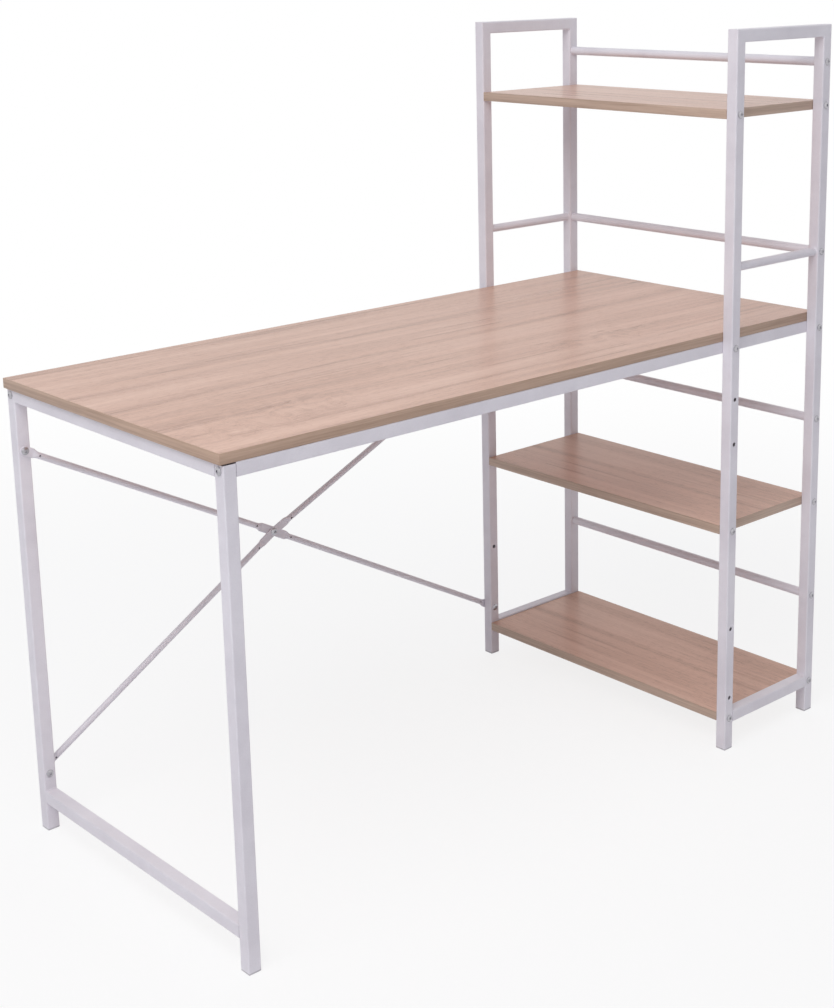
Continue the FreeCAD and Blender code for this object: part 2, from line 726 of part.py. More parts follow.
BRACE_HEADS = [
    (LEG_X, f"{BACK} - sizes.tube_side - {FLAT}", UPPER),
    (LEG_X, f"{BACK} - sizes.tube_side", LOWER),
    (INNER_POST_X, f"{BACK} - {FLAT}", UPPER),
    (INNER_POST_X, BACK, LOWER),
]
add_group(
    "brace_bolts",
    bolt(f"sizes.tube_side + {BACK_REACH}"),
    [(point(*head), ALONG_Y) for head in BRACE_HEADS],
)
add_group(
    "brace_cross_bolt",
    bolt(f"{FLAT} + {BACK_REACH}"),
    [(point(CROSSING_X, f"{BACK} - {FLAT}", CROSSING_Z), ALONG_Y)],
)
NUT_SEATS = [(x, f"{y} + sizes.tube_side + {FLAT}", z) for x, y, z in BRACE_HEADS]
NUT_SEATS.append((CROSSING_X, f"{BACK} + {FLAT}", CROSSING_Z))
add_group("brace_nuts", nut, [(point(*seat), ALONG_Y) for seat in NUT_SEATS])
add_group(
    "desktop_screws",
    headed_pin(
        "sizes.screw_diameter",
        "sizes.tube_side + sizes.screw_bite - sizes.bolt_tail",
        "sizes.screw_head_diameter",
        "sizes.screw_head_height",
        "sizes.head_rim",
    ),
    [(point(x, y, f"{RAIL_TOP} - sizes.tube_side"), ALONG_Z) for x, y in SCREW_ROWS],
)

# Every object has to be sound before a file is written
doc.recompute()
for item in doc.Objects:
    if {"Invalid", "Error"} & set(item.State):
        raise RuntimeError(f"{item.Label} failed: {item.State}")
for node in nodes:
    if node.Shape.isNull() or not node.Shape.isValid():
        raise RuntimeError(f"{node.Label} has no sound shape")
os.makedirs("parts", exist_ok=True)
for node in nodes:
    node.Shape.exportStep(f"parts/{node.Label}.step")
    box = node.Shape.BoundBox
    extent = " x ".join(f"{side:.1f}" for side in (box.XLength, box.YLength, box.ZLength))
    print(f"{node.Label}: {len(node.Shape.Solids)} solids, {extent}")
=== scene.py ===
import itertools
import logging
import math
from dataclasses import dataclass, field
from enum import Enum

import bmesh
import bpy
from mathutils import Color, Matrix, Quaternion, Vector


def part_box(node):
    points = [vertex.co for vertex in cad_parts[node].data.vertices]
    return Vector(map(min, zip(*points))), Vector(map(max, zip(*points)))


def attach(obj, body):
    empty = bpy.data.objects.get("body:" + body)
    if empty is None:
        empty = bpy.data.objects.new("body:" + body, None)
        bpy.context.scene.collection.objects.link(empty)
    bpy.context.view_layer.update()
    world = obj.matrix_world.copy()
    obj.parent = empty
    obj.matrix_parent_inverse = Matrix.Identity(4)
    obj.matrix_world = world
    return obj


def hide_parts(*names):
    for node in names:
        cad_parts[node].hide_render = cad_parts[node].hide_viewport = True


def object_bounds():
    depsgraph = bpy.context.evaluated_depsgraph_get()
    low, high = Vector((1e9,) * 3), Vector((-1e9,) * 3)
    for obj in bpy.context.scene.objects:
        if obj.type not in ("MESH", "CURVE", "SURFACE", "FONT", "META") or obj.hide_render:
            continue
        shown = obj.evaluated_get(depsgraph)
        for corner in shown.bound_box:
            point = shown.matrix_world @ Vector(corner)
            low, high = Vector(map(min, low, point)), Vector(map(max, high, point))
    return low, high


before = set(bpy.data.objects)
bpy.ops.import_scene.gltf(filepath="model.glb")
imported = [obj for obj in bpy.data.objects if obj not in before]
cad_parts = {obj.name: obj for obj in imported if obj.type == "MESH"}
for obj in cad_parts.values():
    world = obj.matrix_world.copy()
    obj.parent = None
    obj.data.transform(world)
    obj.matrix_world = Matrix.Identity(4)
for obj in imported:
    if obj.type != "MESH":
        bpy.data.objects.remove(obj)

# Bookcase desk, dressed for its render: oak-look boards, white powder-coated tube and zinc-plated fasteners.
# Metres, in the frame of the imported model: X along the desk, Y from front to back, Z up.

LOG = logging.getLogger("bookcase_desk")
CAD_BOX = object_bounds()
BODY = "root"
# Name of the mesh attribute that marks where the coat paints shade down in the drain holes.
PAINTED_SHADE_BORE = "bore"
MM = 0.001
ORIGIN = Vector((0, 0, 0))
SIDEWAYS = Vector((1, 0, 0))
BACKWARDS = Vector((0, 1, 0))
UPWARDS = Vector((0, 0, 1))
MERGE_DISTANCE = 0.001 * MM
ROUND_STEPS = 24
SHARP_ANGLE = math.radians(38)
HEXAGON_SIDE = math.radians(60)
HALF_CROSS_ARM = math.radians(20)
CROSS_WAIST_SHARE = 0.4
MIDDLE = 0.5
SCREEN_WHITE = 255
WHITE = (1.0, 1.0, 1.0, 1.0)

# A stop is a place along the tone of a finish, from 0 to 1, and the colour there.
Colour = tuple[float, float, float, float]
Stop = tuple[float, Colour]
Size = tuple[float, float, float]
Box = tuple[Vector, Vector]
Mesh = bmesh.types.BMesh
Material = bpy.types.Material
Socket = bpy.types.NodeSocket
Signal = Socket | float


def screen(red: int, green: int, blue: int) -> Colour:
    """Opaque linear colour, as a shader socket takes it, of an 8-bit screen colour."""
    shares = Color([channel / SCREEN_WHITE for channel in (red, green, blue)])
    return (*shares.from_srgb_to_scene_linear(), 1.0)


def middle(box: Box) -> Vector:
    """Centre of a box."""
    return (box[0] + box[1]) / 2


def clamp(value: float) -> float:
    """Value held between 0 and 1."""
    return min(max(value, 0), 1)


def eased(share: float) -> float:
    """Share of a smooth step, which starts and ends level."""
    return share * share * (3 - 2 * share)


def off_step(angle: float, step: float) -> float:
    """Angle from the nearest whole number of steps."""
    return (angle + step / 2) % step - step / 2


def hexagon_reach(angle: float, flat: float) -> float:
    """Distance from a hexagon's middle to its outline, at an angle from one of its corners."""
    return flat / math.cos(HEXAGON_SIDE / 2 - abs(off_step(angle, HEXAGON_SIDE)))


class Slot(Enum):
    """Names of the record's material slots for the finishes of the new pieces; they are passed along but not
    used.
    """

    OAK_EDGE = "oak_edge"
    WHITE_STEEL = "white_steel"
    ZINC = "zinc"


class Grain(Enum):
    """Direction of a board's grain, as its turn about Z."""

    ALONG_X = 0.0
    ALONG_Y = math.pi / 2


class RailAxis(Enum):
    """Axis that the rails of a frame run along, by its place in a vector."""

    X = 0
    Y = 1

    def along(self) -> Vector:
        """Unit vector along the rails."""
        return (SIDEWAYS, BACKWARDS)[self.value]

    def across(self) -> Vector:
        """Level unit vector across the rails."""
        return (BACKWARDS, SIDEWAYS)[self.value]


class Heading(Enum):
    """Direction that a fastener points in, from its head to its tip."""

    X = (1, 0, 0)
    Y = (0, 1, 0)
    Z = (0, 0, 1)
    INWARDS = None


class Drive(Enum):
    """Kind of recess in a fastener's head, with the angle from one corner or arm to the next."""

    HEXAGON = HEXAGON_SIDE
    CROSS = math.radians(90)

    def reach(self, angle: float, across: float) -> float:
        """Distance from the middle of the recess to its wall.

        Args:
            angle: Angle about the middle, from a corner or an arm.
            across: Width of the recess, between its flats or its arms' ends.

        Returns:
            The distance.
        """
        if self is Drive.HEXAGON:
            return hexagon_reach(angle, across / 2)
        on_arm = abs(off_step(angle, self.value)) < HALF_CROSS_ARM
        return across / 2 * (1 if on_arm else CROSS_WAIST_SHARE)


# Finishes


@dataclass(frozen=True)
class Layer:
    """Layer of noise in a finish: its size in metres, its character, and how far it swings the finish."""

    size: float | Size
    detail: float = 2
    coarseness: float = 0.5
    warp: float = 0
    tone: float = 0
    dulling: float = 0
    relief: float = 0


@dataclass(frozen=True)
class Relief:
    """Relief of a finish: its depth in metres, and the share of it that shows."""

    depth: float
    strength: float


class Shader:
    """Node tree of a material or of the world, with short calls for the nodes that they share.

    The tone, roughness and height of a finish start at their middle values and take on layers.
    """

    def __init__(
        self, owner: Material | bpy.types.World, roughness: float = MIDDLE, tone: float = MIDDLE
    ) -> None:
        """Start from the owner's plain nodes.

        Args:
            owner: Material or world.
            roughness: Roughness where every layer is at its middle.
            tone: Tone where every layer is at its middle.
        """
        owner.use_nodes = True
        self.owner = owner
        self.tree = owner.node_tree
        self.roughness: Signal = roughness
        self.tone: Signal = tone
        self.height: Signal = MIDDLE

    @classmethod
    def layered(cls, name: str, roughness: float, *layers: Layer) -> "Shader":
        """Material that starts with layers of plain noise.

        Args:
            name: Name of the material.
            roughness: Roughness where every layer is at its middle.
            layers: The layers.

        Returns:
            Its node tree.
        """
        shader = cls(bpy.data.materials.new(name), roughness)
        for layer in layers:
            shader.lay(layer, shader.texture(layer).outputs["Fac"])
        return shader

    @property
    def surface(self) -> bpy.types.Node:
        """Principled surface of a material."""
        return self.tree.nodes["Principled BSDF"]

    def feed(self, target: Socket, source: object) -> None:
        """Give an input a constant or another node's output.

        Args:
            target: Input socket.
            source: Output socket, or a plain value.
        """
        if isinstance(source, Socket):
            self.tree.links.new(source, target)
        else:
            target.default_value = source

    def add(
        self, kind: str, inputs: dict[str | int, object] | None = None, **settings: str
    ) -> bpy.types.Node:
        """New node.

        Args:
            kind: Blender's name of the node type.
            inputs: Constants or other nodes' outputs for its inputs, by name or number.
            settings: Attributes of the node.

        Returns:
            The node.
        """
        node = self.tree.nodes.new(kind)
        for name, setting in settings.items():
            setattr(node, name, setting)
        for name, source in (inputs or {}).items():
            self.feed(node.inputs[name], source)
        return node

    def place(self) -> Socket:
        """Object coordinates, in metres."""
        return self.add("ShaderNodeTexCoord").outputs["Object"]

    def length(self, vector: Socket) -> Socket:
        """Length of a vector."""
        return self.add("ShaderNodeVectorMath", {0: vector}, operation="LENGTH").outputs["Value"]

    def calculate(self, operation: str, *terms: Signal) -> Socket:
        """Result of a math node on values."""
        return self.add("ShaderNodeMath", dict(enumerate(terms)), operation=operation).outputs["Value"]

    def pattern_space(self, size: Size, centre: Vector, turn: float, place: Socket | None = None) -> Socket:
        """Object coordinates, or given ones, about a centre, turned about Z and in pattern sizes."""
        space = {"Location": centre, "Rotation": (0, 0, turn), "Scale": size, "Vector": place or self.place()}
        return self.add("ShaderNodeMapping", space, vector_type="TEXTURE").outputs["Vector"]

    def texture(
        self, layer: Layer, centre: Vector = ORIGIN, turn: float = 0, place: Socket | None = None
    ) -> bpy.types.Node:
        """Noise texture of a layer.

        Args:
            layer: Size and character of the noise.
            centre: Place of the pattern's middle, in metres.
            turn: Turn about Z, in radians.
            place: Coordinates in metres, or none for the plain object coordinates.

        Returns:
            The texture, whose values run from 0 to 1.
        """
        size = layer.size if isinstance(layer.size, tuple) else (layer.size,) * 3
        inputs = {
            "Vector": self.pattern_space(size, centre, turn, place),
            "Scale": 1,
            "Detail": layer.detail,
            "Roughness": layer.coarseness,
            "Distortion": layer.warp,
        }
        return self.add("ShaderNodeTexNoise", inputs)

    def swing(self, total: Signal, pattern: Socket, weight: Signal) -> Signal:
        """Total after a pattern has swung it about its own middle.

        Args:
            total: Value before.
            pattern: Values from 0 to 1.
            weight: How far the pattern's whole range swings the total.

        Returns:
            Value after, unchanged where the weight is 0.
        """
        if weight == 0:
            return total
        off_middle = self.calculate("SUBTRACT", pattern, MIDDLE)
        return self.calculate("MULTIPLY_ADD", off_middle, weight, total)

    def lay(self, layer: Layer, pattern: Socket) -> None:
        """Add a layer to the tone, the roughness and the height, by its weights.

        Args:
            layer: The layer.
            pattern: Its values, from 0 to 1.
        """
        self.tone = self.swing(self.tone, pattern, layer.tone)
        self.roughness = self.swing(self.roughness, pattern, layer.dulling)
        self.height = self.swing(self.height, pattern, layer.relief)

    def spread(self, source: Socket, low: float, high: float, start: float = 0, end: float = 1) -> Socket:
        """Smooth step from a start to an end, as the source goes from low to high."""
        inputs = {"Value": source, "From Min": low, "From Max": high, "To Min": start, "To Max": end}
        return self.add("ShaderNodeMapRange", inputs, interpolation_type="SMOOTHSTEP").outputs["Result"]

    def set_surface(self, **sockets: object) -> None:
        """Feed inputs of the principled surface, named with underscores for spaces."""
        for name, source in sockets.items():
            self.feed(self.surface.inputs[name.replace("_", " ")], source)

    def paint(self, stops: list[Stop], relief: Relief, **sockets: float) -> Material:
        """Finish the surface with the tone, roughness and height of its layers.

        Args:
            stops: Colours along the tone.
            relief: Relief that the height gives.
            sockets: Constants for other inputs of the surface.

        Returns:
            The material.
        """
        ramp = self.add("ShaderNodeValToRGB", {"Fac": self.tone})
        elements = ramp.color_ramp.elements
        while len(elements) < len(stops):
            elements.new(1)
        for element, (place, colour) in zip(elements, stops):
            element.position = place
            element.color = colour
        heights = {"Height": self.height, "Distance": relief.depth, "Strength": relief.strength}
        normal = self.add("ShaderNodeBump", heights).outputs["Normal"]
        self.set_surface(Base_Color=ramp.outputs["Color"], Roughness=self.roughness, Normal=normal, **sockets)
        return self.owner

    def seen(self) -> Socket:
        """Mask of the rays that show the surroundings: straight, mirrored or through glass.

        Returns:
            Value output, 0 or 1.
        """
        rays = self.add("ShaderNodeLightPath").outputs
        mask = self.calculate("MAXIMUM", rays["Is Camera Ray"], rays["Is Glossy Ray"])
        return self.calculate("MAXIMUM", mask, rays["Is Transmission Ray"])

    def mix(self, share: Socket, first: Socket, second: Socket) -> None:
        """Show a share of a second shader in place of the first."""
        mixed = self.add("ShaderNodeMixShader", {0: share, 1: first, 2: second})
        self.feed(self.tree.get_output_node("ALL").inputs["Surface"], mixed.outputs["Shader"])


@dataclass(frozen=True)
class PowderCoat:
    """White powder coat on steel, with the skin of a baked coating and faint handling marks.

    Where a mesh has the bore attribute, the coat fades to near black towards the floor of the hole: painted
    shade down in the drain holes.
    """

    # The first stop is near black, painted shade for the floor of the drain holes; the rim stop is where that
    # painted shade gives way to the coat.
    painted_hole_shade: Stop = (0.0, screen(44, 42, 44))
    rim: Stop = (0.15, screen(222, 217, 225))
    shade: Stop = (0.25, screen(222, 217, 225))
    light: Stop = (0.7, screen(235, 231, 238))
    roughness: float = 0.42
    clouds: Layer = Layer(0.11, detail=3, tone=1.0, dulling=0.08)
    smears: Layer = Layer(0.03, detail=4, coarseness=0.6, warp=0.4, tone=0.4, dulling=0.16)
    peel: Layer = Layer(1.6 * MM, detail=1, tone=0.25, relief=1)
    relief: Relief = Relief(0.05 * MM, 0.35)

    def material(self) -> Material:
        """Material of every tube, rod, strut and weld.

        Returns:
            The material.
        """
        shader = Shader.layered("powder_coat", self.roughness, self.clouds, self.smears, self.peel)
        # Painted shade: the bore attribute, 1 at a drain hole's floor, pulls the tone down to the near-black
        # first stop.
        bore = shader.add("ShaderNodeAttribute", attribute_name=PAINTED_SHADE_BORE)
        shader.tone = shader.calculate("SUBTRACT", shader.tone, bore.outputs["Fac"])
        return shader.paint([self.painted_hole_shade, self.rim, self.shade, self.light], self.relief)


@dataclass(frozen=True)
class OakFace:
    """Oak-look melamine: broad soft bands, long streaks, fine fibres, pores and a few curly spots."""

    grain: Grain
    centre: Vector
    figures: tuple[Vector, ...] = ()
    deep: Stop = (0.1, screen(176, 140, 123))
    body: Stop = (0.5, screen(214, 175, 156))
    light: Stop = (0.85, screen(229, 193, 175))
    tone: float = 0.41
    roughness: float = 0.34
    gloss: float = 0.15
    bands: Layer = Layer((0.9, 0.06, 0.06), detail=1, tone=0.85)
    streaks: Layer = Layer((0.45, 0.018, 0.018), detail=1, tone=0.75, dulling=0.1)
    lines: Layer = Layer((0.4, 0.005, 0.005), detail=1, tone=0.24)
    fibres: Layer = Layer((0.11, 0.002, 0.002), tone=0.5, relief=0.5)
    pores: Layer = Layer((0.014, 0.0008, 0.0008), detail=1, tone=0.3, dulling=-0.1, relief=0.5)
    pore_edges: tuple[float, float] = (0.3, 0.42)
    ripples: Layer = Layer((0.011, 0.028, 0.028), tone=0.14)
    fleck_tone: float = 0.5
    curl: Layer = Layer((0.05, 0.06, 0.06), detail=0)
    curl_reach: Size = (0.17, 0.07, 1.0)
    curl_core_share: float = 0.1
    curl_swing: float = 0.04
    relief: Relief = Relief(0.04 * MM, 0.25)

    def material(self, name: str) -> Material:
        """Material of one board.

        Args:
            name: Name of the board.

        Returns:
            The material, with its grain centred on the board.
        """
        shader = Shader(bpy.data.materials.new(f"oak_face_{name}"), self.roughness, self.tone)
        nearness = self.nearness(shader)
        place = self.curled(shader, nearness)
        for layer in (self.bands, self.streaks, self.lines, self.fibres):
            shader.lay(layer, self.pattern(shader, layer, place))
        shader.lay(self.pores, shader.spread(self.pattern(shader, self.pores, place), *self.pore_edges))
        ripples = self.pattern(shader, self.ripples, place)
        shader.lay(self.ripples, ripples)
        flecks = shader.calculate("MULTIPLY", nearness, self.fleck_tone)
        shader.tone = shader.swing(shader.tone, ripples, flecks)
        return shader.paint([self.deep, self.body, self.light], self.relief, Specular_IOR_Level=self.gloss)

    def pattern(self, shader: Shader, layer: Layer, place: Socket) -> Socket:
        """Noise of a layer along the grain, centred on the board."""
        return shader.texture(layer, self.centre, self.grain.value, place).outputs["Fac"]

    def nearness(self, shader: Shader) -> Signal:
        """How near the closest figured spot is.

        Args:
            shader: Material that the board belongs to.

        Returns:
            Value from 0, out of reach of every spot, to 1 at a spot.
        """
        nearest: Signal = 0.0
        for spot in self.figures:
            distance = shader.length(shader.pattern_space(self.curl_reach, spot, self.grain.value))
            near = shader.spread(distance, self.curl_core_share, 1, 1, 0)
            nearest = shader.calculate("MAXIMUM", near, nearest)
        return nearest

    def curled(self, shader: Shader, nearness: Signal) -> Socket:
        """Coordinates that swirl near the figured spots, so that the grain curls round them.

        Args:
            shader: Material that the board belongs to.
            nearness: How near the closest spot is, from 0 to 1.

        Returns:
            Vector output in metres.
        """
        swirl = shader.texture(self.curl, self.centre, self.grain.value).outputs["Color"]
        off_middle = shader.add("ShaderNodeVectorMath", {0: swirl, 1: (MIDDLE,) * 3}, operation="SUBTRACT")
        swing = shader.calculate("MULTIPLY", nearness, self.curl_swing)
        terms = {0: off_middle.outputs["Vector"], 1: swing, 2: shader.place()}
        return shader.add("ShaderNodeVectorMath", terms, operation="MULTIPLY_ADD").outputs["Vector"]


@dataclass(frozen=True)
class OakEdge:
    """Edge band printed with the oak's streaks, which run along each edge."""

    board: str
    deep: Stop = (0.2, screen(160, 131, 112))
    light: Stop = (0.75, screen(198, 169, 149))
    roughness: float = 0.45
    streaks: Layer = Layer((0.22, 0.22, 0.0032), detail=3, coarseness=0.6, warp=0.5, tone=1.1)
    fibres: Layer = Layer((0.035, 0.035, 0.0007), tone=0.5, dulling=0.15, relief=1)
    relief: Relief = Relief(0.08 * MM, 0.3)

    def material(self) -> Material:
        """Material of the bands of one kind of board."""
        shader = Shader.layered(f"oak_edge_{self.board}", self.roughness, self.streaks, self.fibres)
        return shader.paint([self.deep, self.light], self.relief)


@dataclass(frozen=True)
class ZincPlate:
    """Bright zinc on the fasteners, dulled a little by handling."""

    dull: Stop = (0.3, screen(160, 159, 165))
    light: Stop = (0.65, screen(196, 194, 199))
    roughness: float = 0.36
    bloom: Layer = Layer(4 * MM, detail=4, coarseness=0.6, tone=1, dulling=0.25)
    grain: Layer = Layer(0.5 * MM, detail=1, dulling=0.1, relief=1)
    relief: Relief = Relief(0.02 * MM, 0.3)

    def material(self) -> Material:
        """Material of every fastener."""
        shader = Shader.layered("zinc_plate", self.roughness, self.bloom, self.grain)
        return shader.paint([self.dull, self.light], self.relief, Metallic=1.0)


@dataclass(frozen=True)
class CapPlastic:
    """Moulded white plastic with a fine spark-eroded skin."""

    shade: Stop = (0.3, screen(188, 185, 190))
    light: Stop = (0.7, screen(206, 203, 207))
    roughness: float = 0.5
    clouds: Layer = Layer(9 * MM, tone=1)
    skin: Layer = Layer(0.6 * MM, tone=0.4, dulling=0.2, relief=1)
    relief: Relief = Relief(0.06 * MM, 0.4)

    def material(self) -> Material:
        """Material of the feet and the rail caps."""
        shader = Shader.layered("cap_plastic", self.roughness, self.clouds, self.skin)
        return shader.paint([self.shade, self.light], self.relief)


# Meshes


def lathe(outline: list[tuple[float, float]], closed: bool = False) -> Mesh:
    """Turned shape about Z.

    Args:
        outline: Pairs of radius and height, in order.
        closed: Join the last pair to the first.

    Returns:
        The turned mesh, its poles merged.
    """
    shape = bmesh.new()
    spots = [shape.verts.new((radius, 0, height)) for radius, height in outline]
    edges = [shape.edges.new(pair) for pair in zip(spots, spots[1:])]
    if closed:
        edges.append(shape.edges.new((spots[-1], spots[0])))
    bmesh.ops.spin(
        shape,
        geom=[*spots, *edges],
        cent=ORIGIN,
        axis=UPWARDS,
        angle=2 * math.pi,
        steps=ROUND_STEPS,
        use_merge=True,
    )
    bmesh.ops.remove_doubles(shape, verts=shape.verts, dist=MERGE_DISTANCE)
    return shape


def open_edges(shape: Mesh) -> list[bmesh.types.BMEdge]:
    """Edges of a mesh that only one face has."""
    return [edge for edge in shape.edges if edge.is_boundary]


def rim_spots(shape: Mesh) -> set[bmesh.types.BMVert]:
    """Corners along the open rim of a mesh."""
    return {spot for edge in open_edges(shape) for spot in edge.verts}


def sink(shape: Mesh, way: Vector) -> list[bmesh.types.BMVert]:
    """Turn the open rim of a mesh into a recess.

    Args:
        shape: Mesh with one open rim.
        way: Way from the rim to the floor of the recess.

    Returns:
        Corners of the floor.
    """
    walls = bmesh.ops.extrude_edge_only(shape, edges=open_edges(shape))["geom"]
    floor = [item for item in walls if isinstance(item, bmesh.types.BMVert)]
    bmesh.ops.translate(shape, verts=floor, vec=way)
    bmesh.ops.holes_fill(shape, edges=open_edges(shape), sides=0)
    return floor


def islands(node: str) -> list[Box]:
    """Boxes of the separate solids of a CAD node.

    Args:
        node: Name of the node.

    Returns:
        Lowest and highest corner of each solid.
    """
    copy = bmesh.new()
    copy.from_mesh(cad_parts[node].data)
    bmesh.ops.remove_doubles(copy, verts=copy.verts, dist=MERGE_DISTANCE)
    waiting = set(copy.verts)
    boxes = []
    while waiting:
        front = [waiting.pop()]
        found = list(front)
        while front:
            spot = front.pop()
            near = {edge.other_vert(spot) for edge in spot.link_edges} & waiting
            waiting -= near
            front += near
            found += near
        corners = list(zip(*(vert.co for vert in found)))
        boxes.append((Vector(map(min, corners)), Vector(map(max, corners))))
    copy.free()
    return boxes


def merge(whole: Mesh, part: Mesh, place: Matrix) -> None:
    """Add a copy of a mesh to another, at a place.

    Args:
        whole: Mesh that grows.
        part: Mesh that is copied.
        place: Place of the copy.
    """
    lump = bpy.data.meshes.new("lump")
    part.to_mesh(lump)
    lump.transform(place)
    whole.from_mesh(lump)
    bpy.data.meshes.remove(lump)


def turned_to(direction: Vector, place: Vector) -> Matrix:
    """Place of a turned shape whose Z axis points in a direction."""
    return Matrix.Translation(place) @ direction.to_track_quat("Z", "Y").to_matrix().to_4x4()


def finish_piece(name: str, shape: Mesh, material: Material, slot: Slot, *replaced: str) -> None:
    """Make an object of a finished mesh, riding on the desk.

    Args:
        name: Name of the piece.
        shape: Its mesh, in place; freed here.
        material: Its finish.
        slot: Not used.
        replaced: CAD nodes that the piece stands for.
    """
    bmesh.ops.recalc_face_normals(shape, faces=shape.faces)
    for face in shape.faces:
        face.smooth = True
    for edge in shape.edges:
        edge.smooth = edge.calc_face_angle(math.pi) < SHARP_ANGLE
    mesh = bpy.data.meshes.new(name)
    shape.to_mesh(mesh)
    shape.free()
    mesh.materials.append(material)
    piece = bpy.data.objects.new(name, mesh)
    bpy.context.scene.collection.objects.link(piece)
    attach(piece, BODY)
    for node in replaced:
        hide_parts(node)
    LOG.info("%s: %d faces", name, len(mesh.polygons))


def dress(material: Material, *nodes: str) -> None:
    """Give CAD nodes a finish.

    Args:
        material: The finish.
        nodes: Names of the nodes.
    """
    for name in nodes:
        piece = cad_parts[name]
        if not piece.material_slots:
            piece.data.materials.append(material)
        for slot in piece.material_slots:
            slot.material = material
        LOG.info("%s: %s", name, material.name)


# Sub-assemblies


@dataclass
class Board:
    """Board with its edge band: the core stays as it is packed, and the band gets softened edges."""

    name: str
    face: OakFace
    band_thickness: float = 1 * MM
    softening: float = 0.6 * MM
    softening_steps: int = 3
    softening_profile: float = 0.5

    def build(self, band_finish: Material) -> None:
        """Dress the core and make the band.

        Args:
            band_finish: Finish of the edge band.
        """
        dress(self.face.material(self.name), self.name)
        node = f"{self.name}_edge_band"
        ring = self.banding(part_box(node))
        finish_piece(f"{self.name}_banding", ring, band_finish, Slot.OAK_EDGE, node)

    def banding(self, outside: Box) -> Mesh:
        """Closed ring round the core.

        Args:
            outside: Box of the whole board.

        Returns:
            The ring, its outer edges rounded over.
        """
        ring = bmesh.new()
        place = Matrix.Translation(middle(outside)) @ Matrix.Diagonal((*(outside[1] - outside[0]), 1))
        bmesh.ops.create_cube(ring, size=1, matrix=place)
        bmesh.ops.bevel(
            ring,
            geom=ring.edges[:],
            offset=self.softening,
            affect="EDGES",
            segments=self.softening_steps,
            profile=self.softening_profile,
            material=-1,
        )
        top_and_bottom = sorted(ring.faces, key=lambda face: face.calc_area())[-2:]
        bmesh.ops.inset_region(ring, faces=top_and_bottom, thickness=self.band_thickness - self.softening)
        bmesh.ops.delete(ring, geom=top_and_bottom, context="FACES_ONLY")
        bmesh.ops.bridge_loops(ring, edges=open_edges(ring))
        return ring


@dataclass
class Bolt:
    """Button-head bolt or pan-head screw, drawn from the box of its CAD solid."""

    node: str
    heading: Heading
    head_height: float = 3 * MM
    head_rim: float = 1 * MM
    shank_diameter: float = 6 * MM
    drive: Drive = Drive.HEXAGON
    drive_across: float = 4 * MM
    drive_depth: float = 1.6 * MM
    thread_pitch: float = 1 * MM
    thread_depth_share: float = 0.55
    thread_turns: int = 6
    dome_steps: int = 5

    def build(self, finish: Material) -> None:
        """Make every bolt of the group.

        Args:
            finish: Plating of the bolts.
        """
        group = bmesh.new()
        for box in islands(self.node):
            centre, size = middle(box), box[1] - box[0]
            direction = self.direction(centre)
            axis = max(range(3), key=lambda index: abs(direction[index]))
            width = min(size[(axis + 1) % 3], size[(axis + 2) % 3])
            one = self.shape(width, size[axis] - self.head_height)
            seat = centre - direction * (size[axis] / 2 - self.head_height)
            merge(group, one, turned_to(direction, seat))
            one.free()
        finish_piece(f"{self.node}_turned", group, finish, Slot.ZINC, self.node)

    def direction(self, centre: Vector) -> Vector:
        """Direction of the bolt at a place, from its head to its tip."""
        inwards = (0, -math.copysign(1, centre.y), 0)
        return Vector(self.heading.value or inwards)

    def shape(self, head_diameter: float, length: float) -> Mesh:
        """One bolt, with the underside of its head at the origin.

        Args:
            head_diameter: Width of the head.
            length: Length of the shank.

        Returns:
            The mesh, its tip along +Z.
        """
        head, radius = head_diameter / 2, self.shank_diameter / 2
        crown = self.head_height - self.head_rim
        ball = (head**2 + crown**2) / (2 * crown)
        socket = hexagon_reach(0, self.drive_across / 2)
        root = radius - self.thread_depth_share * self.thread_pitch
        flank = self.thread_pitch / 2
        outline = [(0.0, length), (root, length)]
        for turn in range(self.thread_turns):
            crest = length - flank - turn * self.thread_pitch
            outline += [(radius, crest), (root, crest - flank)]
        outline += [(radius, outline[-1][1] - flank), (radius, 0.0), (head, 0.0)]
        for step in range(self.dome_steps + 1):
            reach = head + (socket - head) * step / self.dome_steps
            outline.append((reach, -self.head_height + ball - math.sqrt(ball**2 - reach**2)))
        shape = lathe(outline)
        for spot in rim_spots(shape):
            angle = math.atan2(spot.co.y, spot.co.x)
            reach = self.drive.reach(angle, self.drive_across)
            spot.co.x, spot.co.y = reach * math.cos(angle), reach * math.sin(angle)
        sink(shape, Vector((0, 0, self.drive_depth)))
        return shape


@dataclass
class HexNut:
    """Hexagon nuts with chamfered corners, drawn from the boxes of their CAD solids."""

    node: str
    across_flats: float = 10 * MM
    bore: float = 6.2 * MM
    corner_slope: float = math.tan(math.radians(30))

    def build(self, finish: Material) -> None:
        """Make every nut of the group.

        Args:
            finish: Plating of the nuts.
        """
        group = bmesh.new()
        for low, high in islands(self.node):
            seat = middle((low, high))
            seat.y = low.y
            one = self.shape(high.y - low.y)
            merge(group, one, turned_to(BACKWARDS, seat))
            one.free()
        finish_piece(f"{self.node}_turned", group, finish, Slot.ZINC, self.node)

    def shape(self, height: float) -> Mesh:
        """One nut, from the origin along +Z.

        Args:
            height: Height of the nut.

        Returns:
            The mesh.
        """
        flat, bore = self.across_flats / 2, self.bore / 2
        corner = hexagon_reach(0, flat)
        ease = (corner - flat) * self.corner_slope
        lower = [(bore, ease), (bore + ease, 0), (flat, 0), (corner, ease)]
        upper = [(reach, height - rise) for reach, rise in reversed(lower)]
        shape = lathe(lower + upper, closed=True)
        for spot in shape.verts:
            if math.hypot(spot.co.x, spot.co.y) > (flat + corner) / 2:
                angle = math.atan2(spot.co.y, spot.co.x)
                reach = hexagon_reach(angle, flat)
                drop = (reach - flat) * self.corner_slope
                spot.co.x, spot.co.y = reach * math.cos(angle), reach * math.sin(angle)
                spot.co.z = drop if spot.co.z < height / 2 else height - drop
        return shape


